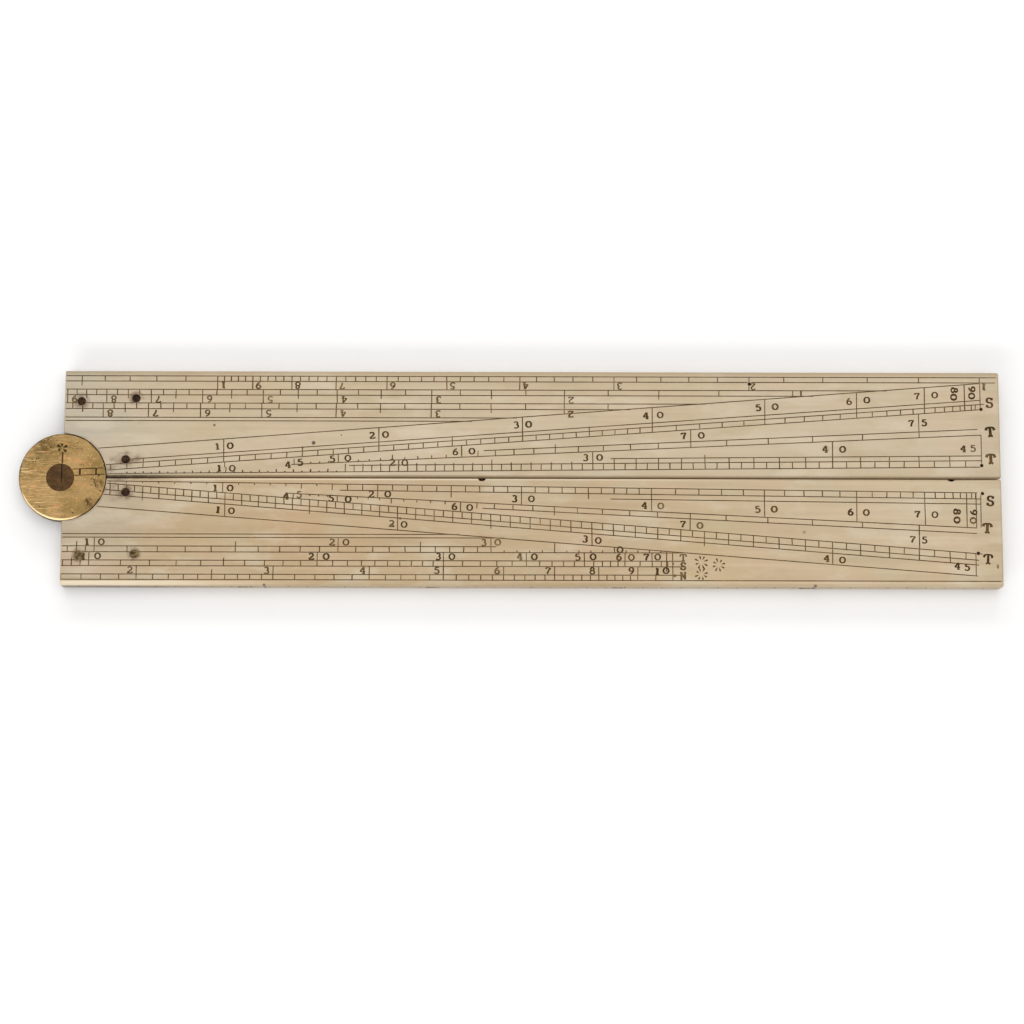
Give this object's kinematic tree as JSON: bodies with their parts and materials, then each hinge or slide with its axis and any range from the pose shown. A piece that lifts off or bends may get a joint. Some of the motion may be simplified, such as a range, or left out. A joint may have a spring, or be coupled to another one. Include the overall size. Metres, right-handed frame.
{
  "type": "sector rule",
  "caption": "Folding sector, a hinged calculating rule: two flat ivory legs on a flush brass disc joint, engraved with number, sine and tangent lines.",
  "frame": {"origin": "on the joint's axis, at the back face that the rule rests on", "axes": "+X along the closed legs to their tips, +Y across them towards the upper leg, +Z out of the front face"},
  "size_m": [0.1597, 0.0354, 0.004],
  "materials": {
    "ivory_upper": "polished aged ivory, ink-filled engraving",
    "ivory_lower": "polished aged ivory, ink-filled engraving",
    "brass": "old brass, filed flush, fine scratches and dark patina",
    "brass_middle": "old brass, dulled at its edge",
    "pin_steel": "browned steel, filed flush",
    "dowel_steel": "browned steel",
    "leaf_pin_iron": "dark oxidised iron, filed flush",
    "wear_pin": "blackened, filled with ink and dirt"
  },
  "bodies": {
    "upper_arm": {"upper_leg": "ivory_upper", "upper_leaf_pin_1": "leaf_pin_iron", "upper_leaf_pin_2": "leaf_pin_iron", "upper_leaf_pin_3": "leaf_pin_iron", "upper_wear_pin_sine_end": "wear_pin", "upper_wear_pin_tangent_end": "wear_pin", "upper_wear_pin_number_two": "wear_pin", "front_cheek_plate": "brass", "back_cheek_plate": "brass", "centre_pin": "pin_steel", "closing_dowel_joint": "dowel_steel", "closing_dowel_tip": "dowel_steel"},
    "lower_arm": {"lower_leg": "ivory_lower", "lower_leaf_pin_1": "leaf_pin_iron", "lower_leaf_pin_2": "leaf_pin_iron", "lower_leaf_pin_3": "leaf_pin_iron", "lower_wear_pin_sine_end": "wear_pin", "lower_wear_pin_tangent_end": "wear_pin", "middle_plate": "brass_middle"}
  },
  "joints": [
    {"name": "joint", "type": "hinge", "parent": "upper_arm", "child": "lower_arm", "pos_m": [0, 0, 0], "axis": [0, 0, -1], "range_deg": [0, 180]}
  ]
}
